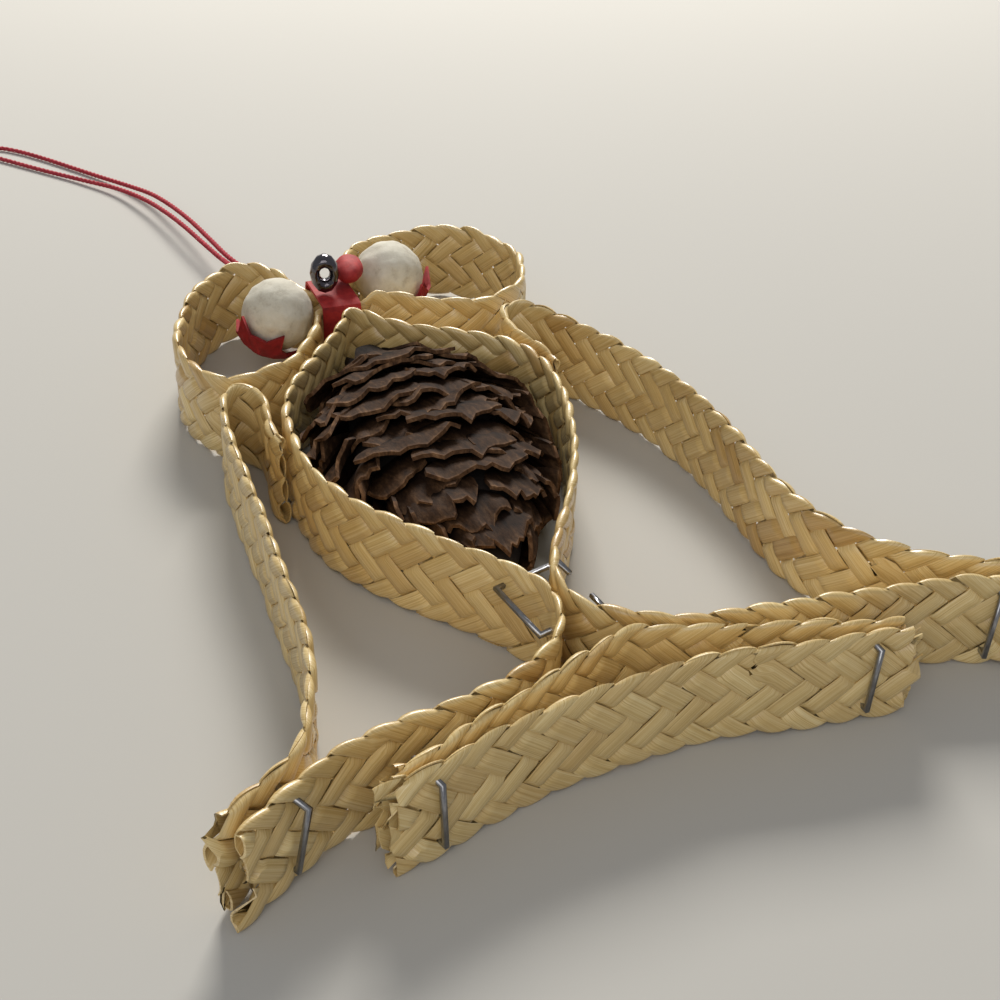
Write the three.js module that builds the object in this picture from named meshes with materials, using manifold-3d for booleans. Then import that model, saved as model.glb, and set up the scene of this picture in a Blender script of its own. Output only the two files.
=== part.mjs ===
// A straw-plait bell ornament with a bow on top, lying on the edges of its plaits.
// Millimetres. +Z is up, +Y runs from the rim to the bow, the origin is under the middle of the bell.

import * as THREE from 'three';
import { mergeVertices } from 'three/addons/utils/BufferGeometryUtils.js';
import Module from 'manifold-3d';

const wasm = await Module();
wasm.setup();

// Driving dimensions
const plaitWidth = 14;           // the plait stands on edge, so this is its height
const plaitThickness = 1.3;      // at the ridge of each folded straw
const toothPitch = 4.5;          // one folded straw to the next along an edge
const toothDepth = 0.9;          // how far an edge dips between two folds
const relief = 0.2;              // how far a straw stands out of the plait's face
const gap = 0.3;                 // between pieces that touch
const wire = 0.55;               // staple wire, square
const crown = 9.4;               // staple length across
const threadDiameter = 1;
const ballRadius = 6;
const middle = [-0.8, 60.35];     // the middle of the bell in the plan that the routes below are drawn in

const colours = {
  straw: { color: 0xc6a86b, roughness: 0.45 },
  cone: { color: 0x3a2a22, roughness: 0.85 },
  cotton: { color: 0xd9d3c2, roughness: 0.95 },
  red: { color: 0x8e1318, roughness: 0.8 },
  steel: { color: 0x75767a, roughness: 0.3, metalness: 1 },
  dark: { color: 0x2c2b2e, roughness: 0.15, metalness: 1 },
  thread: { color: 0xa3182a, roughness: 0.9 },
};

const ornament = new THREE.Group();
ornament.position.set(-middle[0], -middle[1], 0);

function add(name, geometry, look) {
  const mesh = new THREE.Mesh(geometry, new THREE.MeshStandardMaterial(colours[look]));
  mesh.name = name;
  ornament.add(mesh);
  return mesh;
}

// A geometry from rings of points, joined one to the next, closed by a cap at both ends or back on itself.
function skin(rings, closed) {
  const count = rings[0].length;
  const positions = rings.flat(2);
  const index = [];
  const last = closed ? rings.length : rings.length - 1;
  for (let i = 0; i < last; i += 1) {
    for (let j = 0; j < count; j += 1) {
      const a = i * count + j;
      const b = i * count + ((j + 1) % count);
      const c = ((i + 1) % rings.length) * count + j;
      const d = ((i + 1) % rings.length) * count + ((j + 1) % count);
      index.push(a, d, b, a, c, d);
    }
  }
  if (!closed) {
    const end = (rings.length - 1) * count;
    for (let j = 1; j < count - 1; j += 1) {
      index.push(0, j, j + 1);
      index.push(end, end + j + 1, end + j);
    }
  }
  const geometry = new THREE.BufferGeometry();
  geometry.setAttribute('position', new THREE.Float32BufferAttribute(positions, 3));
  geometry.setIndex(index);
  return geometry;
}

// Stations along a route: one at every half tooth, and more where it turns sharply.
function stations(route, step, closed) {
  const sharpest = Math.PI / 6;
  const curve = new THREE.CatmullRomCurve3(
    route.map(([x, y]) => new THREE.Vector3(x, y, 0)), closed, 'centripetal');
  curve.arcLengthDivisions = 1200;
  const halves = 2 * Math.round(curve.getLength() / step / 2);
  const parts = 6;
  const found = [];
  let turned = 0;
  let before = null;
  for (let i = 0; i < halves * parts + (closed ? 0 : 1); i += 1) {
    const u = i / (halves * parts);
    const tangent = curve.getTangentAt(u);
    turned += before ? before.angleTo(tangent) : 0;
    before = tangent;
    if (i % parts === 0 || turned > sharpest) {
      const p = curve.getPointAt(u);
      found.push({ x: p.x, y: p.y, tx: tangent.x, ty: tangent.y, halfTeeth: i / parts });
      turned = 0;
    }
  }
  return found;
}

// A plait on edge along a route. Its edges rise and dip at each folded straw, its faces swell where
// straws cross, and a raw end is frayed: its top, middle and bottom stop at different lengths.
function plait(route, { closed = false, rawStart = [0, 0, 0], rawEnd = [0, 0, 0], trim = () => 0 } = {}) {
  const along = stations(route, toothPitch / 2, closed);
  const rings = along.map((s, i) => {
    const wave = Math.abs((s.halfTeeth % 2) - 1);
    const inset = trim(s.x, s.y);
    const low = inset + toothDepth * (1 - wave);
    const high = plaitWidth - inset - toothDepth * wave;
    const half = plaitThickness / 2;
    let raw = [0, 0, 0];
    if (!closed && i === 0) raw = rawStart.map((v) => -v);
    if (!closed && i === along.length - 1) raw = rawEnd;
    const point = (side, z, ahead) => [
      s.x - s.ty * side + s.tx * ahead, s.y + s.tx * side + s.ty * ahead, z];
    const swell = half - relief * wave;
    return [
      point(-half + relief, low, raw[0]), point(-swell, plaitWidth / 2, raw[1]),
      point(-half + relief, high, raw[2]), point(half - relief, high, raw[2]),
      point(swell, plaitWidth / 2, raw[1]), point(half - relief, low, raw[0]),
    ];
  });
  return skin(rings, closed);
}

function solid(geometry) {
  const clean = geometry.clone();
  for (const name of ['normal', 'uv']) clean.deleteAttribute(name);
  const merged = mergeVertices(clean, 1e-5);
  return new wasm.Manifold(new wasm.Mesh({
    numProp: 3,
    vertProperties: new Float32Array(merged.attributes.position.array),
    triVerts: new Uint32Array(merged.index.array),
  }));
}

function geometryOf(manifold) {
  const { vertProperties, triVerts } = manifold.getMesh();
  const geometry = new THREE.BufferGeometry();
  geometry.setAttribute('position', new THREE.BufferAttribute(vertProperties, 3));
  geometry.setIndex(new THREE.BufferAttribute(triVerts, 1));
  return geometry;
}

// Staples: each has a place on the outer face of a plait, the direction of its crown, the direction
// that its legs go in, and the depth of straw that they pass through.
const staples = [
  { name: 'tip_staple', at: [-8.7, 25, 9.6], crownAlong: [0.15, -1, -0.16], into: [1, 0.15, 0], depth: 8.6,
    through: ['cone_band'] },
  { name: 'left_foot_staple', at: [-45.5, 5.1, 7], crownAlong: [0.14, -0.06, 1], into: [-0.42, 0.9, 0], depth: 4.7,
    through: ['cone_band', 'side_band_left'] },
  { name: 'right_foot_staple', at: [44.2, 0.1, 7], crownAlong: [0.1, 0.05, 1], into: [0.46, 0.89, 0], depth: 5.3,
    through: ['cone_band', 'side_band_right'] },
  { name: 'rim_left_staple', at: [-31.2, 1.7, 7.1], crownAlong: [-0.06, 0, 1], into: [-0.18, 0.98, 0], depth: 3.7,
    through: ['rim_band_lower', 'rim_band_upper'] },
  { name: 'rim_right_staple', at: [23.8, -1.3, 7], crownAlong: [0.03, 0, 1], into: [0.12, 0.99, 0], depth: 3.7,
    through: ['rim_band_lower', 'rim_band_upper'] },
];

function stapleFrame({ at, crownAlong, into }) {
  const x = new THREE.Vector3(...crownAlong).normalize();
  const y = new THREE.Vector3(...into).normalize();
  const z = new THREE.Vector3().crossVectors(x, y).normalize();
  y.crossVectors(z, x);
  return new THREE.Matrix4().makeBasis(x, y, z).setPosition(...at);
}

// A staple in its own frame: the crown along X, the legs along +Y through the straw, the tips
// clinched towards each other behind it.
function stapleWire({ depth }) {
  const reach = crown / 2 - wire / 2;
  const back = depth + gap + wire / 2;
  const front = -gap - wire / 2;
  const clinch = crown / 2 - 2.6;
  const path = [[-clinch, back], [-reach, back], [-reach, front], [reach, front], [reach, back], [clinch, back]];
  const inward = [[0, -1], [1, -1], [1, 1], [-1, 1], [-1, -1], [0, -1]];
  const h = wire / 2;
  const rings = path.map(([x, y], i) => {
    const [u, v] = inward[i];
    return [[x + u * h, y + v * h, -h], [x - u * h, y - v * h, -h],
      [x - u * h, y - v * h, h], [x + u * h, y + v * h, h]];
  });
  return skin(rings, false);
}

function stapleHoles({ depth }) {
  const side = wire + 2 * gap;
  return [-1, 1].map((end) => {
    const box = new THREE.BoxGeometry(side, depth + 6, side);
    box.translate(end * (crown - wire) / 2, depth / 2, 0);
    return box;
  });
}

// Plaits

// The bow: one plait ring, drawn in to a waist by the ribbon.
const waist = [1.7, 106];
const waistTurn = -0.12;
const bowRoute = [
  [0.5, 103.1], [-1.9, 102.5], [-3.1, 100.6], [-4.3, 98], [-6.2, 94.9], [-9.3, 91.3], [-12.9, 88], [-17, 86.6], [-21.5, 86], [-24.6, 87.3],
  [-26, 91.5], [-26.3, 99], [-23.8, 106], [-19, 114.4], [-14.3, 119.2], [-10, 121.6], [-6, 120.6],
  [-2.8, 114], [-1.3, 110.6], [0.2, 109.5], [2.4, 109.3], [5, 109.2], [6.9, 111.4], [8.4, 116.4], [11.4, 120.4], [17, 122.6], [25, 122.9],
  [29.4, 122.4], [32.6, 119.9], [34.8, 115.4], [36.4, 109.4], [34.4, 102.3], [30.9, 97], [25.8, 94.6],
  [21, 94.6], [16.6, 96.8], [13, 99.4], [10.4, 101.6], [8, 103.1], [5.6, 102.9], [3.2, 102.9],
];
const underRibbon = (x, y) => {
  const away = Math.hypot(x - waist[0], (y - waist[1]) * 0.4);
  return 1.1 * (1 - THREE.MathUtils.smoothstep(away, 3.9, 6.5));
};

// The bell's middle plait: from the left foot to the tip, round the cone and back to the right foot.
const coneBandRoute = [
  [-52.6, 2.6], [-48.4, 4.8], [-44.5, 6.8], [-40.3, 8.6], [-36.4, 9.5], [-31, 10.2], [-25, 10.2],
  [-19.5, 10.7], [-14, 12.5], [-9.6, 15.4], [-6.9, 19.4], [-6.2, 23.8], [-8.3, 29.6], [-12.6, 37],
  [-17.2, 44.6], [-20.3, 52], [-21.2, 60], [-20.6, 68], [-18.6, 75.4], [-14.8, 81.7], [-10, 86.8], [-4.8, 92],
  [-0.9, 96.2], [0.5, 98.2], [1.9, 98.9], [3.2, 98], [4.2, 95.4], [7.4, 91.6], [13, 87], [18.3, 81.7],
  [20.8, 75.6], [20.8, 69], [19.2, 62.6], [16.6, 56.4], [13.2, 49.6], [8.6, 42.4], [3.2, 35.6],
  [-1.8, 29.4], [-4.2, 24], [-4, 19.6], [-1.2, 15.9], [4.4, 12.2], [10.4, 10.1], [18.8, 8], [27.8, 5.9],
  [35, 4.6], [40.6, 2.9], [45, 0.7], [50.4, -2],
];

const leftSideRoute = [
  [-22.6, 66.6], [-22.6, 70.5], [-21.4, 75.4], [-20.6, 79.4], [-21.1, 82.4], [-23.1, 83.5], [-25.4, 81.6],
  [-27.3, 76], [-28.7, 69], [-30, 60], [-31.1, 52], [-32.4, 45], [-33.4, 38.5], [-34.2, 32.5],
  [-35.6, 26.6], [-37.4, 21.4], [-39.7, 16.6], [-42, 12.2], [-45.2, 9.4], [-49.8, 7.2], [-54, 4.9],
];
const rightSideRoute = [
  [22.9, 71], [23.1, 76], [22.3, 81], [22.6, 85.6], [24, 89.4], [26.7, 90.6], [29, 88.6], [30.9, 83.6],
  [33.4, 76], [35.4, 68], [36.4, 59], [36, 48], [34.4, 38], [33.2, 29.5], [33.2, 22],
  [35, 15.8], [38.4, 10.6], [43, 6.2], [47.4, 3.2], [52.4, 0.4],
];
const rimUpperRoute = [
  [-36.6, 3.9], [-31.4, 4.2], [-26, 6], [-19, 7.8], [-11.5, 9.9], [-6.3, 11.5], [-3, 12.5], [-0.4, 12.4], [2.4, 10.9],
  [6.6, 8.7], [12, 6.5], [18, 3.9], [23.8, 1.5], [29.6, -0.2],
];
const rimLowerRoute = [
  [-37.6, 1.9], [-31.2, 2.4], [-25.4, 3.7], [-18.6, 4.7], [-11, 5], [-4, 4.7], [3, 4.4], [8.6, 3.2],
  [14.2, 1.6], [20, 0.1], [24, -0.6], [29, -2.1],
];

const plaits = {
  cone_band: plait(coneBandRoute, { rawStart: [1.4, -0.4, -0.8], rawEnd: [1.2, -0.3, -0.6] }),
  side_band_left: plait(leftSideRoute, { rawStart: [1.2, 0.4, -1.2], rawEnd: [-0.6, 0.8, -1] }),
  side_band_right: plait(rightSideRoute, { rawStart: [1, 0.2, -1], rawEnd: [-0.4, 0.8, -0.8] }),
  rim_band_upper: plait(rimUpperRoute, { rawStart: [-0.8, 0.6, -0.5], rawEnd: [0.6, -0.4, 0.4] }),
  rim_band_lower: plait(rimLowerRoute, { rawStart: [0.9, -0.6, 0.4], rawEnd: [-0.5, 0.7, -0.6] }),
  bow_band: plait(bowRoute, { closed: true, trim: underRibbon }),
};

for (const [name, geometry] of Object.entries(plaits)) {
  const cuts = staples.filter((s) => s.through.includes(name));
  let body = solid(geometry);
  for (const s of cuts) {
    for (const hole of stapleHoles(s)) body = body.subtract(solid(hole.applyMatrix4(stapleFrame(s))));
  }
  add(name, geometryOf(body), 'straw');
}

for (const s of staples) add(s.name, stapleWire(s).applyMatrix4(stapleFrame(s)), 'steel');

// The pine cone, flat enough to lie between the plaits, its point towards the rim. Rows of open
// scales overhang one another towards the point, and each row's free edge is scalloped.
function cone() {
  const rows = 10;
  const scales = 7;
  const around = 4 * scales;
  const bottom = 0.4;
  const top = 15.6;
  const widest = 18.8;
  // Along the cone from the stem end to the point: how far up the bell, the middle, half the width.
  const shape = new THREE.CatmullRomCurve3([
    [89.6, 1.3, 5.5], [87, 1.6, 9.6], [82, 1.6, 14.4], [76, 1.1, 17.6], [68, -0.2, widest], [60, -1.6, 17.8],
    [52, -2.6, 15.2], [44, -3.7, 11.2], [38, -4.4, 6.6], [33.6, -4.8, 2.6],
  ].map((p) => new THREE.Vector3(...p)));
  const ring = (u, share, shift, scalloped) => {
    const { x: y, y: centre, z: half } = shape.getPointAt(THREE.MathUtils.clamp(u, 0, 1));
    const tall = (top - bottom) / 2 * Math.min(1, 0.25 + 0.8 * half / widest);
    return Array.from({ length: around }, (_, j) => {
      const angle = (2 * Math.PI * j) / around;
      const notch = scalloped && (j + shift) % 4 === 0 ? 0.84 : 1;
      return [centre + half * share * notch * Math.cos(angle), y,
        (top + bottom) / 2 + tall * share * notch * Math.sin(angle)];
    });
  };
  const rings = [];
  for (let k = 0; k < rows; k += 1) {
    const shift = 2 * (k % 2);
    rings.push(ring(k / rows, k === 0 ? 0.6 : 0.74, shift, false));
    rings.push(ring((k + 0.8) / rows, 1, shift, true));
    rings.push(ring((k + 0.97) / rows, 0.95, shift, true));
  }
  rings.push(ring(1, 0.5, 0, false));
  return skin(rings.reverse(), false);
}
add('pine_cone', cone(), 'cone');

// Spun cotton balls, each in a red cup with pointed tabs, on either side of the waist.
const balls = [
  { side: 'left', at: [-7.35, 107.2, 10.9], cupAxis: [-0.62, -0.3, -0.72] },
  { side: 'right', at: [14.5, 112.2, 11.3], cupAxis: [0.5, -0.34, -0.8] },
];

function cottonBall() {
  return new THREE.SphereGeometry(ballRadius, 12, 9);
}

// A thin cup round the lower part of a ball; its rim rises to a tab five times round.
function cup() {
  const tabs = 5;
  const around = 4 * tabs;
  const inside = ballRadius + 2.5 * gap;
  const outside = inside + 0.5;
  const bands = 2;
  const rim = (j) => THREE.MathUtils.degToRad(j % 4 === 2 ? 62 : 40);
  const ring = (radius, share) => Array.from({ length: around }, (_, j) => {
    const polar = rim(j) * share;
    const angle = (2 * Math.PI * j) / around;
    return [radius * Math.sin(polar) * Math.cos(angle), radius * Math.sin(polar) * Math.sin(angle),
      radius * Math.cos(polar)];
  });
  const rings = [];
  for (let i = 0; i <= bands; i += 1) rings.push(ring(outside, (i + 0.25) / (bands + 0.25)));
  for (let i = bands; i >= 0; i -= 1) rings.push(ring(inside, (i + 0.25) / (bands + 0.25)));
  return skin(rings, false);
}

for (const { side, at, cupAxis } of balls) {
  add(`cotton_ball_${side}`, cottonBall(), 'cotton').position.set(...at);
  const tabbed = add(`red_cup_${side}`, cup(), 'red');
  tabbed.position.set(...at);
  tabbed.quaternion.setFromUnitVectors(new THREE.Vector3(0, 0, 1), new THREE.Vector3(...cupAxis).normalize());
}

// The red ribbon round the waist, its folded knot, and the steel ring on top.
const ribbon = { width: 6.2, thickness: 0.5, depth: 10.9, height: 13.8, corner: 1.3 };

function ribbonLoop() {
  const { width, thickness, depth, height, corner } = ribbon;
  const rings = [];
  [[1, 1], [-1, 1], [-1, -1], [1, -1]].forEach(([y, z], quarter) => {
    for (const share of [0, 0.5, 1]) {
      const angle = (Math.PI / 2) * (quarter + share);
      const at = (radius, x) => [x, y * (depth / 2 - corner) + radius * Math.cos(angle),
        height / 2 + z * (height / 2 - corner) + radius * Math.sin(angle)];
      rings.push([at(corner, -width / 2), at(corner, width / 2),
        at(corner - thickness, width / 2), at(corner - thickness, -width / 2)]);
    }
  });
  return skin(rings, true);
}
const wrap = add('ribbon_wrap', ribbonLoop(), 'red');
wrap.position.set(...waist, 0);
wrap.rotation.z = waistTurn;

const knot = new THREE.SphereGeometry(1, 10, 7);
knot.scale(2.6, 4, 2);
knot.rotateZ(-0.4);
add('ribbon_knot', knot, 'red').position.set(5.2, 107.6, 16.2);

function ringShape() {
  const hole = 0.75;
  const profile = [];
  for (let i = 0; i < 8; i += 1) {
    const a = (2 * Math.PI * i) / 8;
    profile.push(new THREE.Vector2(hole + 0.8 + 0.8 * Math.cos(a), 1.5 * Math.sin(a)));
  }
  profile.push(profile[0].clone());
  const ring = new THREE.LatheGeometry(profile, 12);
  ring.scale(1, 1, 1.4);
  return ring;
}
const ring = add('steel_ring', ringShape(), 'dark');
ring.position.set(0, 105.1, 17.5);
ring.rotation.z = -0.35;

// The hanger: one red thread that leaves the waist, runs out past the bow, turns and comes back.
const threadRoute = [
  [2.8, 112, 5], [2.3, 117, 5], [0.9, 125, 4.8], [-1.1, 134, 4.5], [-2.5, 144, 4.2], [-2.7, 154, 3.8],
  [-2.9, 164, 3.4], [-3.6, 174, 2.8], [-4.8, 183, 2], [-7.3, 191, 1.2], [-10.6, 198.6, 0.7], [-14.4, 206, 0.6],
  [-18.2, 213, 0.6], [-22.4, 219.6, 0.6], [-25.6, 222.8, 0.6], [-28, 222.6, 0.6], [-28, 219.4, 0.6],
  [-24.6, 213.6, 0.6], [-20, 206.6, 0.6], [-14.6, 198.4, 0.8], [-9.7, 189.6, 1.4], [-7, 180, 2.3],
  [-5.7, 171, 3], [-5, 162, 3.6], [-4.4, 152, 3.9], [-3.8, 143, 4.2], [-2.5, 134, 4.5], [-0.5, 125, 4.8],
  [0.9, 117, 5], [1.4, 112, 5],
];
const threadCurve = new THREE.CatmullRomCurve3(
  threadRoute.map((p) => new THREE.Vector3(...p)), false, 'centripetal');
const section = new THREE.Shape();
for (let i = 0; i < 8; i += 1) {
  const a = (2 * Math.PI * i) / 8;
  const p = [threadDiameter / 2 * Math.cos(a), threadDiameter / 2 * Math.sin(a)];
  if (i === 0) section.moveTo(...p);
  else section.lineTo(...p);
}
section.closePath();
add('hanger_thread', new THREE.ExtrudeGeometry(section, { steps: 76, extrudePath: threadCurve }), 'thread');

export default ornament;
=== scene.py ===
import math
import random

import bmesh
import bpy
from mathutils import Matrix, Vector, noise


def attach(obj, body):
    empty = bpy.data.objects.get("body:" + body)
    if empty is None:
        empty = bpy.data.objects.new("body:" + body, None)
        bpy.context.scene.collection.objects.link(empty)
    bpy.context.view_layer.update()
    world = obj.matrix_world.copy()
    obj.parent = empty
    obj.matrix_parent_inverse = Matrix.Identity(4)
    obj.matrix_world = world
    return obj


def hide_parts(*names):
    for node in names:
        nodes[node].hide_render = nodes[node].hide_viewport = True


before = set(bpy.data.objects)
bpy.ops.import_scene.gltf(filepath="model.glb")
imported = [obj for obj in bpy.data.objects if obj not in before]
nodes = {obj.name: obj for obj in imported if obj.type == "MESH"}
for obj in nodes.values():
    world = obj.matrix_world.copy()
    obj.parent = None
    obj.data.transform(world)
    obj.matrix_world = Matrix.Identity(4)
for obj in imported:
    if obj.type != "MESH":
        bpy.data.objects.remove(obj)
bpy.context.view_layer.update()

mm = 0.001

# The plan that the plaits are drawn in has its own middle, as in the part's source.
middle = Vector((-0.8, 60.35, 0))


def place(x, y, z=0.0):
    """A point of the plan, in millimetres, as metres in the part's frame."""
    return (Vector((x, y, z)) - middle) * mm


# ---------------------------------------------------------------- helpers

def deselect():
    if bpy.context.mode != "OBJECT":
        bpy.ops.object.mode_set(mode="OBJECT")
    bpy.ops.object.select_all(action="DESELECT")


def only(obj):
    deselect()
    obj.select_set(True)
    bpy.context.view_layer.objects.active = obj
    return obj


def named(name):
    obj = bpy.context.object
    obj.name = name
    obj.data.name = name
    return obj


def apply_modifiers(obj):
    only(obj)
    for modifier in list(obj.modifiers):
        bpy.ops.object.modifier_apply(modifier=modifier.name)


def settle(obj):
    """Puts the object's place, turn and scale into its mesh."""
    only(obj)
    bpy.ops.object.transform_apply(location=True, rotation=True, scale=True)


def keep(obj, material, slot, *replaced):
    obj.data.materials.clear()
    obj.data.materials.append(material)
    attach(obj, "root")
    if replaced:
        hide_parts(*replaced)
    return obj


# ---------------------------------------------------------------- camera

camera_data = bpy.data.cameras.new("camera")
camera_data.lens = 54
camera_data.sensor_width = 36
camera_data.clip_start = 0.01
camera = bpy.data.objects.new("camera", camera_data)
bpy.context.scene.collection.objects.link(camera)
camera.matrix_world = (
    Matrix.Translation(place(-82.6, -96.6, 120.76))
    @ Matrix.Rotation(math.radians(-30), 4, "Z")
    @ Matrix.Rotation(math.radians(56.15), 4, "X")
    @ Matrix.Rotation(math.radians(2.61), 4, "Z"))
bpy.context.scene.camera = camera


# ---------------------------------------------------------------- materials

def material(name, color, roughness, metallic=0.0):
    """A new material with its nodes; returns it, its node tree and its shader."""
    made = bpy.data.materials.new(name)
    made.use_nodes = True
    made.diffuse_color = (*color, 1)
    tree = made.node_tree
    shader = tree.nodes["Principled BSDF"]
    shader.inputs["Base Color"].default_value = (*color, 1)
    shader.inputs["Roughness"].default_value = roughness
    shader.inputs["Metallic"].default_value = metallic
    return made, tree, shader


def node(tree, kind, **values):
    made = tree.nodes.new(kind)
    for key, value in values.items():
        if key in made.inputs:
            made.inputs[key].default_value = value
        else:
            setattr(made, key, value)
    return made


def ramp(tree, source, stops):
    made = tree.nodes.new("ShaderNodeValToRGB")
    elements = made.color_ramp.elements
    while len(elements) < len(stops):
        elements.new(0.5)
    for element, (position, color) in zip(elements, stops):
        element.position = position
        element.color = (*color, 1) if len(color) == 3 else color
    tree.links.new(source, made.inputs[0])
    return made.outputs[0]


def straw_material():
    """Flattened, split straw: satin, with fibres along it, each straw of its own shade."""
    made, tree, shader = material("straw", (0.6, 0.42, 0.18), 0.38)
    link = tree.links.new
    uv = node(tree, "ShaderNodeUVMap", uv_map="along")
    shade = node(tree, "ShaderNodeAttribute", attribute_name="shade")
    number = node(tree, "ShaderNodeAttribute", attribute_name="number")
    stretch = node(tree, "ShaderNodeMapping")
    stretch.inputs["Scale"].default_value = (22, 4, 1)
    link(uv.outputs[0], stretch.inputs["Vector"])
    apart = node(tree, "ShaderNodeCombineXYZ")
    link(number.outputs["Fac"], apart.inputs["Z"])
    shift = node(tree, "ShaderNodeVectorMath", operation="ADD")
    link(stretch.outputs[0], shift.inputs[0])
    link(apart.outputs[0], shift.inputs[1])
    fibres = node(tree, "ShaderNodeTexNoise", Scale=1.0, Detail=5.0, Roughness=0.65)
    link(shift.outputs[0], fibres.inputs["Vector"])
    body = ramp(tree, fibres.outputs["Fac"], [
        (0.26, (0.44, 0.28, 0.085)), (0.45, (0.68, 0.49, 0.20)), (0.7, (0.84, 0.68, 0.37))])
    tone = ramp(tree, shade.outputs["Fac"], [
        (0.0, (0.74, 0.64, 0.5)), (0.3, (0.92, 0.88, 0.8)),
        (0.75, (1.0, 1.0, 0.97)), (1.0, (1.12, 1.14, 1.16))])
    tinted = node(tree, "ShaderNodeMix", data_type="RGBA", blend_type="MULTIPLY")
    tinted.inputs[0].default_value = 1
    link(body, tinted.inputs[6])
    link(tone, tinted.inputs[7])
    link(tinted.outputs[2], shader.inputs["Base Color"])
    gloss = ramp(tree, fibres.outputs["Fac"], [(0.3, (0.46,) * 3), (0.7, (0.27,) * 3)])
    link(gloss, shader.inputs["Roughness"])
    bump = node(tree, "ShaderNodeBump", Strength=0.35, Distance=0.00012)
    link(fibres.outputs["Fac"], bump.inputs["Height"])
    link(bump.outputs[0], shader.inputs["Normal"])
    shader.inputs["Specular IOR Level"].default_value = 0.6
    shader.inputs["Coat Weight"].default_value = 0.4
    shader.inputs["Coat Roughness"].default_value = 0.2
    return made


def mottled(name, stops, scale, roughness, metallic=0.0, bump=0.3, depth=0.0002, stretch=(1, 1, 1)):
    """A finish whose shade and fine relief vary over the surface; stops run from its dark to its light."""
    made, tree, shader = material(name, stops[-1][1], roughness, metallic)
    link = tree.links.new
    place_on = node(tree, "ShaderNodeTexCoord")
    turn = node(tree, "ShaderNodeMapping")
    turn.inputs["Scale"].default_value = stretch
    link(place_on.outputs["Object"], turn.inputs["Vector"])
    grain = node(tree, "ShaderNodeTexNoise", Scale=scale, Detail=6.0, Roughness=0.7)
    link(turn.outputs[0], grain.inputs["Vector"])
    link(ramp(tree, grain.outputs["Fac"], stops), shader.inputs["Base Color"])
    relief = node(tree, "ShaderNodeBump", Strength=bump, Distance=depth)
    link(grain.outputs["Fac"], relief.inputs["Height"])
    link(relief.outputs[0], shader.inputs["Normal"])
    return made


straw = straw_material()
thread_red = mottled(
    "thread_red", [(0.3, (0.26, 0.01, 0.02)), (0.7, (0.55, 0.05, 0.07))], 1800, 0.85, bump=0.6)

# ---------------------------------------------------------------- hanger thread

thread_route = [
    (2.8, 112, 5), (2.3, 117, 5), (0.9, 125, 4.8), (-1.1, 134, 4.5), (-2.5, 144, 4.2), (-2.7, 154, 3.8),
    (-2.9, 164, 3.4), (-3.6, 174, 2.8), (-4.8, 183, 2), (-7.3, 191, 1.2), (-10.6, 198.6, 0.7), (-14.4, 206, 0.6),
    (-18.2, 213, 0.6), (-22.4, 219.6, 0.6), (-25.6, 222.8, 0.6), (-28, 222.6, 0.6), (-28, 219.4, 0.6),
    (-24.6, 213.6, 0.6), (-20, 206.6, 0.6), (-14.6, 198.4, 0.8), (-9.7, 189.6, 1.4), (-7, 180, 2.3),
    (-5.7, 171, 3), (-5, 162, 3.6), (-4.4, 152, 3.9), (-3.8, 143, 4.2), (-2.5, 134, 4.5), (-0.5, 125, 4.8),
    (0.9, 117, 5), (1.4, 112, 5)]


def smooth(points, closed, spacing):
    """Points close together on a smooth line through the given ones."""
    pts = [Vector(p).to_3d() for p in points]
    count = len(pts)
    line = []
    for i in range(count if closed else count - 1):
        if closed:
            p0, p1, p2, p3 = (pts[(i + k) % count] for k in (-1, 0, 1, 2))
        else:
            p1, p2 = pts[i], pts[i + 1]
            p0 = pts[i - 1] if i else p1 * 2 - p2
            p3 = pts[i + 2] if i + 2 < count else p2 * 2 - p1
        d1, d2, d3 = ((b - a).length ** 0.5 for a, b in ((p0, p1), (p1, p2), (p2, p3)))
        t1 = (p1 - p0) / d1 - (p2 - p0) / (d1 + d2) + (p2 - p1) / d2
        t2 = (p2 - p1) / d2 - (p3 - p1) / (d2 + d3) + (p3 - p2) / d3
        steps = max(2, round((p2 - p1).length / spacing))
        for k in range(steps):
            t = k / steps
            a, b = t * t * (3 - 2 * t), t * t * t - t * t
            line.append(p1 * (1 - a) + p2 * a + t1 * d2 * (b - t * t + t) + t2 * d2 * b)
    if not closed:
        line.append(pts[-1])
    return line


def length_of(line, closed=False):
    total = sum((b - a).length for a, b in zip(line, line[1:]))
    return total + (line[0] - line[-1]).length * closed


def curve(name, line, closed=False, flat=True):
    """A curve object along a line given in the plan's millimetres."""
    data = bpy.data.curves.new(name, "CURVE")
    data.dimensions = "2D" if flat else "3D"
    spline = data.splines.new("POLY")
    spline.points.add(len(line) - 1)
    for point, p in zip(spline.points, line):
        point.co = (*place(*p), 1)
    spline.use_cyclic_u = closed
    obj = bpy.data.objects.new(name, data)
    bpy.context.scene.collection.objects.link(obj)
    return obj


thread_line = smooth(thread_route, False, 0.5)
thread = curve("hanger_thread_red", thread_line, flat=False)
ply = bpy.data.curves.new("ply", "CURVE")
ply.dimensions = "2D"
round_of_plies = ply.splines.new("POLY")
round_of_plies.points.add(11)
for i, point in enumerate(round_of_plies.points):
    turn = math.tau * i / 12
    reach = (0.43 + 0.07 * math.cos(3 * turn)) * mm
    point.co = (reach * math.cos(turn), reach * math.sin(turn), 0, 1)
round_of_plies.use_cyclic_u = True
ply_outline = bpy.data.objects.new("ply", ply)
bpy.context.scene.collection.objects.link(ply_outline)
thread.data.bevel_mode = "OBJECT"
thread.data.bevel_object = ply_outline
thread.data.use_fill_caps = True
for i, point in enumerate(thread.data.splines[0].points):
    point.tilt = i * 0.5 / 3.4 * math.tau
only(thread)
bpy.ops.object.convert(target="MESH")
thread = bpy.context.object
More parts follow.
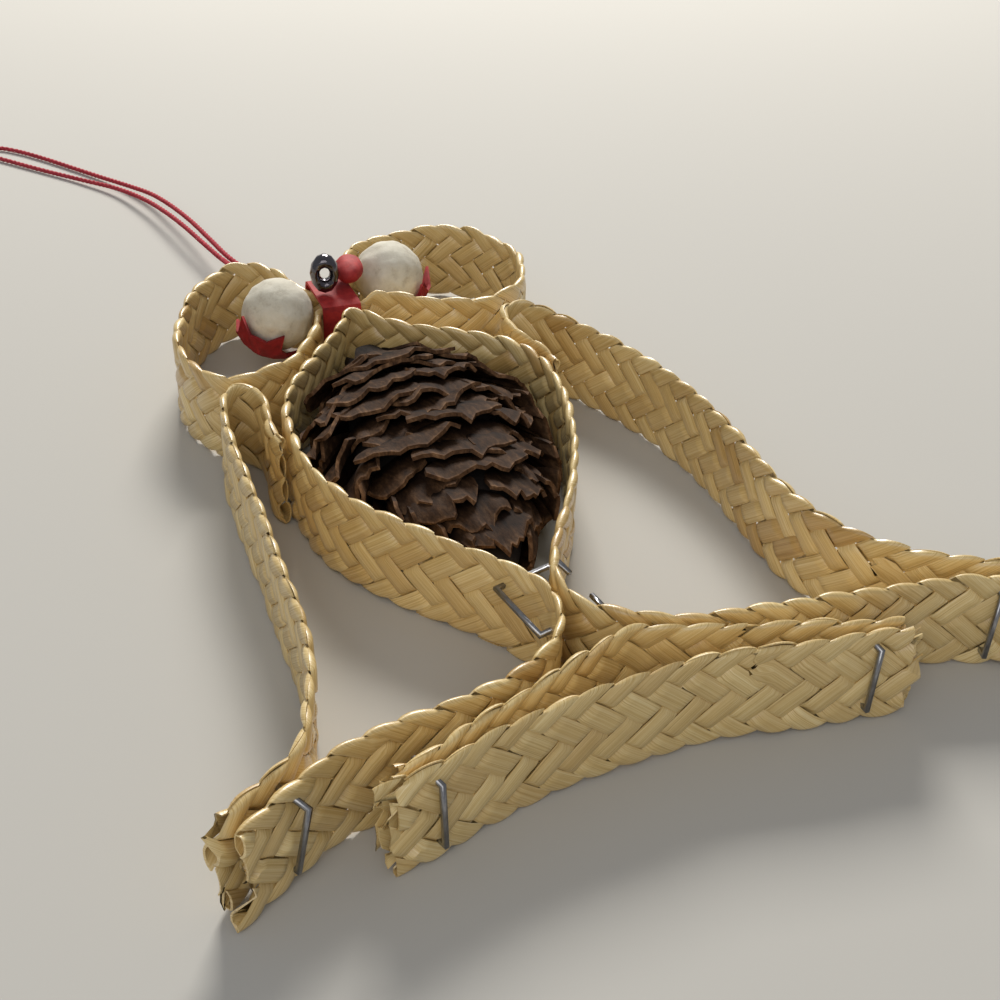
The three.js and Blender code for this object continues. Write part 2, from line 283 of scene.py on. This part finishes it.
bpy.data.objects.remove(ply_outline)
keep(thread, thread_red, "red_thread", "hanger_thread")

# ---------------------------------------------------------------- plaits

plait_width = 14.0
tooth = 4.5
straws = 7                       # each straw lies 7 teeth from one fold to the same fold again
across = 7                       # points over the width of a straw
bend_reach = 0.3                 # the part of a row that a fold takes to turn over the edge

# At each of the six crossings, whether a straw on its way down lies in front (1) or behind (-1).
over = {1: -1, 2: 1, 3: 1, 4: -1, 5: -1, 6: 1}

# Where the rows of points lie between the top fold at 0 and the bottom fold at 7.
rows = [0, 0.02, 0.08, 0.17, 0.3, 0.65, 1, 1.3, 1.5, 1.7, 2, 2.5, 3, 3.3, 3.5, 3.7, 4, 4.5, 5, 5.3, 5.5, 5.7, 6,
        6.35, 6.7, 6.83, 6.92, 6.98, 7]


def layer(j):
    """How far a straw on its way down stands in front of the plait's middle, from -1 to 1."""
    if j < bend_reach or j > straws - bend_reach:
        near, side = (j, over[1]) if j < 1 else (straws - j, over[6])
        return side * math.sqrt(max(0, 1 - (1 - near / bend_reach) ** 2))
    crossing = max(1, min(6, math.floor(j)))
    before = over[crossing]
    after = over[min(6, crossing + 1)] if j >= 1 else before
    t = min(1, max(0, (j - crossing - 0.3) / 0.4))
    return before + (after - before) * t * t * (3 - 2 * t)


def straw_strip():
    """The straw as a mesh with thickness, made from a plain grid."""
    deselect()
    legs = 2 * len(rows) - 1
    bpy.ops.mesh.primitive_grid_add(x_subdivisions=across - 1, y_subdivisions=legs - 1, size=1)
    strip = named("straw")
    strip.data.uv_layers.active.name = "along"
    order = sorted(strip.data.vertices, key=lambda v: (round(v.co.y, 4), round(v.co.x, 4)))
    for k, vertex in enumerate(order):
        line, i = divmod(k, across)
        going_down = line < len(rows)
        row = rows[line] if going_down else rows[legs - 1 - line]
        a = i / (across - 1) - 0.5
        fold = max(0, 1 - row, row - 6)
        front = layer(row) if going_down else -layer(row)
        pinch = 0.93 + 0.03 * front
        wide = a * (pinch + (0.985 - pinch) * fold)
        if going_down:
            j = row + wide * fold
            x = (wide + j) / 2 * tooth
            down = (j - wide) * 2
        else:
            j = row - wide * fold
            x = straws * tooth + (wide - j) / 2 * tooth
            down = (j + wide) * 2
        crown = 1 - abs(2 * a) ** 2.6
        leaning = a - 0.12 if row < 3.5 else a + 0.12
        dip = 1.7 * leaning ** 2 * max(0, 1 - 1.3 * min(row, 7 - row)) ** 1.4
        down += dip if row < 3.5 else -dip
        z = plait_width / 2 + (plait_width / 2 - down) * (plait_width - 0.3) / plait_width
        y = -front * (0.14 + 0.4 * crown)
        vertex.co = Vector((x, y, z)) * mm
    strip.modifiers.new("thickness", "SOLIDIFY").thickness = 0.18 * mm
    strip.modifiers["thickness"].offset = 0
    apply_modifiers(strip)
    return strip


def shift_ends(mesh, at, ragged):
    """Moves each straw along by its own amount near an end, so that one straight cut leaves them uneven."""
    for vertex, cut in zip(mesh.vertices, mesh.attributes["cut"].data):
        if abs(vertex.co.x / mm - at) < 20:
            vertex.co.x += cut.value * ragged * mm


def spread_ends(mesh, at, ragged):
    """Opens the layers of a cut end, and lets its straws curl up or down a little."""
    for vertex, splay in zip(mesh.vertices, mesh.attributes["splay"].data):
        t = max(0, 1 - abs(vertex.co.x / mm - at) / 8) ** 2 * ragged
        vertex.co.y *= 1 + 1.3 * t * max(0, splay.value)
        vertex.co.z += 0.6 * t * splay.value * mm * (1 if vertex.co.z < plait_width / 2 * mm else -1)


def plait(name, route, closed=False, seed=1, turned=False, frayed=(1, 1)):
    """A plait along a route in the plan: one straw, repeated a tooth apart, cut to length and bent.

    A turned plait stands upside down. frayed says how ragged its first and last ends are.
    """
    line = smooth(route, closed, 0.4)
    length = length_of(line, closed)
    teeth = round(length / tooth)
    band = straw_strip()
    points = len(band.data.vertices)
    if not closed:
        for vertex in band.data.vertices:
            vertex.co.x -= straws * tooth * mm
    repeat = band.modifiers.new("repeat", "ARRAY")
    repeat.use_relative_offset = False
    repeat.use_constant_offset = True
    repeat.constant_offset_displace = (tooth * mm, 0, 0)
    repeat.count = teeth + (0 if closed else straws)
    apply_modifiers(band)
    if turned:
        for vertex in band.data.vertices:
            vertex.co.y = -vertex.co.y
            vertex.co.z = plait_width * mm - vertex.co.z

    # Every straw is a little different: its shade, how full it is, how it leans, how far its folds reach.
    dice = random.Random(seed)
    mesh = band.data
    shades, numbers, cuts, splays = [], [], [], []
    for k in range(len(mesh.vertices) // points):
        tone = min(1, max(0, dice.gauss(0.5, 0.24)))
        full = dice.uniform(0.75, 1.2)
        reach = dice.uniform(-0.4, 0.15)
        drift = dice.uniform(-0.2, 0.2)
        lean = dice.uniform(-0.12, 0.12)
        cut = dice.uniform(-1.7, 1.3)
        splay = dice.uniform(-0.6, 1)
        for vertex in mesh.vertices[k * points:(k + 1) * points]:
            x, y, z = vertex.co
            high = z / (plait_width * mm) * 2 - 1
            crease = noise.noise(Vector((x / mm * 0.35, z / mm * 0.35, k * 3.1 + seed))) * 0.1
            vertex.co = (x + (drift + lean * high) * mm, y * full + crease * mm, z + reach * high ** 3 * mm)
            shades.append(tone)
            numbers.append(seed * 31.7 + k * 7.7)
            cuts.append(cut)
            splays.append(splay)
    for key, values in (("shade", shades), ("number", numbers), ("cut", cuts), ("splay", splays)):
        mesh.attributes.new(key, "FLOAT", "POINT").data.foreach_set("value", values)

    if not closed:
        for end, (at, ragged) in enumerate(zip((0, length), frayed)):
            shift_ends(mesh, at, ragged)
            only(band)
            bpy.ops.object.mode_set(mode="EDIT")
            bpy.ops.mesh.select_all(action="SELECT")
            bpy.ops.mesh.bisect(plane_co=(at * mm, 0, 0), plane_no=(1, 0, 0), use_fill=True,
                                clear_inner=end == 0, clear_outer=end == 1)
            bpy.ops.object.mode_set(mode="OBJECT")
            shift_ends(mesh, at, -ragged)
            spread_ends(mesh, at, ragged)
    else:
        stretch = length / (teeth * tooth)
        for vertex in mesh.vertices:
            vertex.co.x *= stretch

    track = curve(name + "_route", line, closed)
    bend = band.modifiers.new("bend", "CURVE")
    bend.object = track
    bend.deform_axis = "POS_X"
    apply_modifiers(band)
    bpy.data.objects.remove(track)
    band.name = band.data.name = name
    only(band)
    bpy.ops.object.shade_smooth_by_angle(angle=math.radians(50))
    return band


bow_route = [
    (0.5, 103.1), (-1.9, 102.5), (-3.1, 100.6), (-4.3, 98), (-6.2, 94.9), (-9.3, 91.3), (-12.9, 88), (-17, 86.6),
    (-21.5, 86), (-24.6, 87.3), (-26, 91.5), (-26.3, 99), (-23.8, 106), (-19, 114.4), (-14.3, 119.2), (-10, 121.6),
    (-6, 120.6), (-2.8, 114), (-1.3, 110.6), (0.2, 109.5), (2.4, 109.3), (5, 109.2), (6.9, 111.4), (8.4, 116.4),
    (11.4, 120.4), (17, 122.6), (25, 122.9), (29.4, 122.4), (32.6, 119.9), (34.8, 115.4), (36.4, 109.4),
    (34.4, 102.3), (30.9, 97), (25.8, 94.6), (21, 94.6), (16.6, 96.8), (13, 99.4), (10.4, 101.6), (8, 103.1),
    (5.6, 102.9), (3.2, 102.9)]
cone_band_route = [
    (-52.6, 2.6), (-48.4, 4.8), (-44.5, 6.8), (-40.3, 8.6), (-36.4, 9.5), (-31, 10.2), (-25, 10.2), (-19.5, 10.7),
    (-14, 12.5), (-9.6, 15.4), (-6.9, 19.4), (-6.2, 23.8), (-8.3, 29.6), (-12.6, 37), (-17.2, 44.6), (-20.3, 52),
    (-21.2, 60), (-20.6, 68), (-18.6, 75.4), (-14.8, 81.7), (-10, 86.8), (-4.8, 92), (-0.9, 96.2), (0.5, 98.2),
    (1.9, 98.9), (3.2, 98), (4.2, 95.4), (7.4, 91.6), (13, 87), (18.3, 81.7), (20.8, 75.6), (20.8, 69),
    (19.2, 62.6), (16.6, 56.4), (13.2, 49.6), (8.6, 42.4), (3.2, 35.6), (-1.8, 29.4), (-4.2, 24), (-4, 19.6),
    (-1.2, 15.9), (4.4, 12.2), (10.4, 10.1), (18.8, 8), (27.8, 5.9), (35, 4.6), (40.6, 2.9), (45, 0.7), (50.4, -2)]
left_side_route = [
    (-22.6, 66.6), (-22.6, 70.5), (-21.4, 75.4), (-20.6, 79.4), (-21.1, 82.4), (-23.1, 83.5), (-25.4, 81.6),
    (-27.3, 76), (-28.7, 69), (-30, 60), (-31.1, 52), (-32.4, 45), (-33.4, 38.5), (-34.2, 32.5), (-35.6, 26.6),
    (-37.4, 21.4), (-39.7, 16.6), (-42, 12.2), (-45.2, 9.4), (-49.8, 7.2), (-54, 4.9)]
right_side_route = [
    (22.9, 71), (23.1, 76), (22.3, 81), (22.6, 85.6), (24, 89.4), (26.7, 90.6), (29, 88.6), (30.9, 83.6),
    (33.4, 76), (35.4, 68), (36.4, 59), (36, 48), (34.4, 38), (33.2, 29.5), (33.2, 22), (35, 15.8),
    (38.4, 10.6), (43, 6.2), (47.4, 3.2), (52.4, 0.4)]
rim_upper_route = [
    (-36.6, 3.9), (-31.4, 4.2), (-26, 6), (-19, 7.8), (-11.5, 9.9), (-6.3, 11.5), (-3, 12.5), (-0.4, 12.4),
    (2.4, 10.9), (6.6, 8.7), (12, 6.5), (18, 3.9), (23.8, 1.5), (29.6, -0.2)]
rim_lower_route = [
    (-37.6, 1.9), (-31.2, 2.4), (-25.4, 3.7), (-18.6, 4.7), (-11, 5), (-4, 4.7), (3, 4.4), (8.6, 3.2),
    (14.2, 1.6), (20, 0.1), (24, -0.6), (29, -2.1)]

bow = plait("bow_plait", bow_route, closed=True, seed=3, turned=True)
waist = place(1.7, 106)
waist_half, waist_ease, waist_squeeze = 3.9, 2.6, 1.1
for vertex in bow.data.vertices:
    away = math.hypot(vertex.co.x - waist.x, (vertex.co.y - waist.y) * 0.4) / mm
    t = min(1, max(0, (away - waist_half) / waist_ease))
    squeeze = waist_squeeze * (1 - t * t * (3 - 2 * t))
    vertex.co.z = 7 * mm + (vertex.co.z - 7 * mm) * (1 - squeeze / 7)
keep(bow, straw, "straw", "bow_band")
keep(plait("cone_plait", cone_band_route, seed=4, turned=True), straw, "straw", "cone_band")
keep(plait("left_side_plait", left_side_route, seed=5, frayed=(0.3, 1)), straw, "straw", "side_band_left")
keep(plait("right_side_plait", right_side_route, seed=6, frayed=(0.3, 1)), straw, "straw", "side_band_right")
keep(plait("rim_upper_plait", rim_upper_route, seed=7), straw, "straw", "rim_band_upper")
keep(plait("rim_lower_plait", rim_lower_route, seed=8), straw, "straw", "rim_band_lower")

# ---------------------------------------------------------------- finishes of the other pieces

cone_scale = mottled("cone_scale", [(0.3, (0.014, 0.007, 0.004)), (0.52, (0.058, 0.031, 0.016)),
                                    (0.75, (0.155, 0.092, 0.05))], 700, 0.75, bump=0.7, stretch=(1.6, 0.5, 1))
scale_nodes = cone_scale.node_tree
scale_shader = scale_nodes.nodes["Principled BSDF"]
scale_shader.inputs["Specular IOR Level"].default_value = 0.12
# Painted shade: each scale darkens towards its root, where it lies under the row above; the lighter tan free edge
# is the scales' own colour.
free_edge_mask = node(scale_nodes, "ShaderNodeAttribute", attribute_name="free_edge")
painted_root_shade_tan_edge = ramp(scale_nodes, free_edge_mask.outputs["Fac"], [
    (0.3, (0.16, 0.13, 0.11)), (0.8, (0.8, 0.7, 0.6)), (0.93, (1, 0.95, 0.88)), (1.0, (2.1, 1.95, 1.75))])
scale_color = node(scale_nodes, "ShaderNodeMix", data_type="RGBA", blend_type="MULTIPLY")
scale_color.inputs[0].default_value = 1
scale_nodes.links.new(scale_shader.inputs["Base Color"].links[0].from_socket, scale_color.inputs[6])
scale_nodes.links.new(painted_root_shade_tan_edge, scale_color.inputs[7])
scale_nodes.links.new(scale_color.outputs[2], scale_shader.inputs["Base Color"])
cone_core = mottled("cone_core", [(0.3, (0.01, 0.006, 0.005)), (0.7, (0.03, 0.02, 0.015))], 500, 0.9)
cotton = mottled(
    "cotton", [(0.25, (0.44, 0.39, 0.30)), (0.45, (0.64, 0.60, 0.49)), (0.7, (0.74, 0.70, 0.59))],
    420, 0.9, bump=0.5, depth=0.0003)
red_felt = mottled(
    "red_felt", [(0.3, (0.17, 0.003, 0.005)), (0.7, (0.33, 0.009, 0.011))], 900, 0.85, bump=0.4)
red_ribbon = mottled(
    "red_ribbon", [(0.3, (0.27, 0.008, 0.01)), (0.7, (0.50, 0.03, 0.025))], 800, 0.7, bump=0.4)
dark_steel = mottled(
    "dark_steel", [(0.3, (0.10, 0.09, 0.10)), (0.7, (0.17, 0.16, 0.17))], 600, 0.14, 1, bump=0.03)
staple_wire = mottled(
    "staple_wire", [(0.3, (0.24, 0.24, 0.25)), (0.7, (0.42, 0.42, 0.43))], 900, 0.28, 1, bump=0.05)

# ---------------------------------------------------------------- pine cone

# Stations of the cone: where along the plan's y, the middle's x, and half the width there.
cone_stations = [
    (33.6, -4.8, 2.6), (38, -4.4, 6.6), (44, -3.7, 11.2), (52, -2.6, 15.2), (60, -1.6, 17.8), (68, -0.2, 18.8),
    (76, 1.1, 17.6), (82, 1.6, 14.4), (87, 1.6, 9.6), (89.6, 1.3, 5.5)]


core_middle, core_half = 61, 26          # along y
core_fill = 0.62                         # of the cone's width and height
first_row, last_row, row_spacing = 39.0, 92, 4.1
scale_spacing = 9.5                      # round the cone
scale_half_width, scale_reach = 5.6, 8.5


def cone_at(y):
    """The middle's x, half the width and half the height of the cone at y."""
    y = min(89.6, max(33.6, y))
    for (y0, x0, w0), (y1, x1, w1) in zip(cone_stations, cone_stations[1:]):
        if y <= y1:
            t = (y - y0) / (y1 - y0)
            half = w0 + (w1 - w0) * t
            return x0 + (x1 - x0) * t, half, 7.5 * min(1, 0.25 + 0.8 * half / 18.8)


def cone_point(y, angle, out):
    x, wide, high = cone_at(y)
    return Vector((x + wide * out * math.cos(angle), y, 8 + high * out * math.sin(angle)))


def core():
    deselect()
    bpy.ops.mesh.primitive_uv_sphere_add(segments=32, ring_count=24, radius=1)
    made = named("cone_core")
    for vertex in made.data.vertices:
        u, v, w = vertex.co
        y = core_middle + core_half * w
        angle = math.atan2(v, u)
        vertex.co = place(*cone_point(y, angle, core_fill * math.hypot(u, v) ** 0.4))
    only(made)
    bpy.ops.object.mode_set(mode="EDIT")
    bpy.ops.mesh.select_all(action="SELECT")
    bpy.ops.mesh.normals_make_consistent(inside=False)
    bpy.ops.object.mode_set(mode="OBJECT")
    bpy.ops.object.shade_smooth()
    return made


def scales():
    """The cone's scales: each a crinkled tongue that points down the cone and stands out at its free edge."""
    dice = random.Random(11)
    deselect()
    bpy.ops.mesh.primitive_grid_add(x_subdivisions=12, y_subdivisions=7, size=2)
    tongue = named("tongue")
    flat = [vertex.co.copy() for vertex in tongue.data.vertices]
    made = []
    y = first_row
    row = 0
    while y < last_row:
        x, wide, high = cone_at(y)
        around = math.pi * (wide + high)
        count = max(4, round(around / scale_spacing))
        for k in range(count):
            angle = math.tau * (k + 0.5 * (row % 2) + dice.uniform(-0.12, 0.12)) / count
            half = scale_half_width * dice.uniform(0.8, 1.15) * min(1, wide / 10 + 0.25)
            reach = scale_reach * dice.uniform(0.85, 1.1)
            lift = dice.uniform(0.78, 1.03)
            seed = dice.uniform(0, 90)
            piece = tongue.copy()
            piece.data = tongue.data.copy()
            bpy.context.scene.collection.objects.link(piece)
            for vertex, spot in zip(piece.data.vertices, flat):
                u, v = spot.x, (spot.y + 1) / 2
                narrow = 0.5 + 0.5 * math.sin(math.pi / 2 * min(1, v * 1.3))
                edge = 1 - 0.3 * u * u + 0.26 * noise.noise(Vector((u * 3.4, seed, 0)))
                along = y + 4.5 - reach * v * edge
                ripple = 1.5 * v * v * noise.noise(Vector((u * 2.2, v * 1.2, seed))) * mm
                out = 0.58 + (lift - 0.58) * v ** 0.8
                spread = u * half * narrow / max(4, (wide + high) / 2)
                point = Vector(place(*cone_point(along, angle + spread, out)))
                point.z += ripple
                vertex.co = point
            piece.data.attributes.new("free_edge", "FLOAT", "POINT").data.foreach_set(
                "value", [(spot.y + 1) / 2 for spot in flat])
            made.append(piece)
        y += row_spacing
        row += 1
    bpy.data.objects.remove(tongue)
    deselect()
    for piece in made:
        piece.select_set(True)
    bpy.context.view_layer.objects.active = made[0]
    bpy.ops.object.join()
    joined = named("cone_scales")
    thick = joined.modifiers.new("thickness", "SOLIDIFY")
    thick.thickness = 0.55 * mm
    thick.offset = 0
    apply_modifiers(joined)
    only(joined)
    bpy.ops.object.shade_smooth_by_angle(angle=math.radians(45))
    return joined


keep(core(), cone_core, "cone")
keep(scales(), cone_scale, "cone", "pine_cone")

# ---------------------------------------------------------------- balls, cups, ribbon, ring and staples

def refined(name, new_name, levels, wrinkle, size, angle=60):
    """A copy of a frame node with smooth shading.

    levels rounds its facets over, wrinkle is how far its surface wanders, and size is how wide a wrinkle is.
    """
    made = bpy.data.objects.new(new_name, nodes[name].data.copy())
    bpy.context.scene.collection.objects.link(made)
    only(made)
    bpy.ops.object.mode_set(mode="EDIT")
    bpy.ops.mesh.select_all(action="SELECT")
    bpy.ops.mesh.remove_doubles(threshold=0.00001)
    bpy.ops.mesh.tris_convert_to_quads()
    bpy.ops.object.mode_set(mode="OBJECT")
    if levels:
        surface = made.modifiers.new("rounded", "SUBSURF")
        surface.levels = surface.render_levels = levels
        apply_modifiers(made)
    made.data.update()
    for vertex, normal in zip(made.data.vertices, [v.normal.copy() for v in made.data.vertices]):
        if wrinkle:
            vertex.co += normal * noise.noise(vertex.co / (size * mm)) * wrinkle * mm
    only(made)
    bpy.ops.object.shade_smooth_by_angle(angle=math.radians(angle))
    return made


for side in ("left", "right"):
    keep(refined(f"cotton_ball_{side}", f"spun_cotton_ball_{side}", 2, 0.22, 1.6, 180), cotton, "cotton",
         f"cotton_ball_{side}")
    keep(refined(f"red_cup_{side}", f"felt_cup_{side}", 0, 0, 1), red_felt, "red_felt", f"red_cup_{side}")
keep(refined("ribbon_wrap", "ribbon_band", 0, 0, 1, 40), red_ribbon, "red_felt", "ribbon_wrap")
keep(refined("ribbon_knot", "ribbon_fold", 2, 0.15, 1.5, 180), red_ribbon, "red_felt", "ribbon_knot")
keep(refined("steel_ring", "dark_ring", 0, 0, 1, 50), dark_steel, "dark_steel", "steel_ring")
for name in sorted(nodes):
    if name.endswith("_staple"):
        keep(refined(name, name + "_wire", 0, 0, 1, 75), staple_wire, "steel_wire", name)

# ---------------------------------------------------------------- floor and light

deselect()
bpy.ops.mesh.primitive_plane_add(size=3, location=(0, 0, 0))
floor = named("floor")
paper, _, paper_shader = material("table_white", (0.53, 0.515, 0.475), 0.9)
paper_shader.inputs["Specular IOR Level"].default_value = 0.1
floor.data.materials.append(paper)

world = bpy.data.worlds.new("room")
world.use_nodes = True
world.node_tree.nodes["Background"].inputs["Color"].default_value = (0.9, 0.93, 1, 1)
world.node_tree.nodes["Background"].inputs["Strength"].default_value = 0.3
bpy.context.scene.world = world


def lamp(name, at, towards, size, power, color):
    data = bpy.data.lights.new(name, "AREA")
    data.size = size
    data.energy = power
    data.color = color
    obj = bpy.data.objects.new(name, data)
    bpy.context.scene.collection.objects.link(obj)
    obj.location = at
    obj.rotation_euler = (Vector(towards) - Vector(at)).to_track_quat("-Z", "Y").to_euler()


lamp("window", (0.32, 0.62, 0.52), (0.02, 0.03, 0), 0.3, 8.5, (1, 0.97, 0.92))
lamp("fill", (-0.4, -0.5, 0.55), (0, 0, 0), 0.6, 1.9, (1, 0.98, 0.95))

scene = bpy.context.scene
scene.view_settings.view_transform = "Standard"
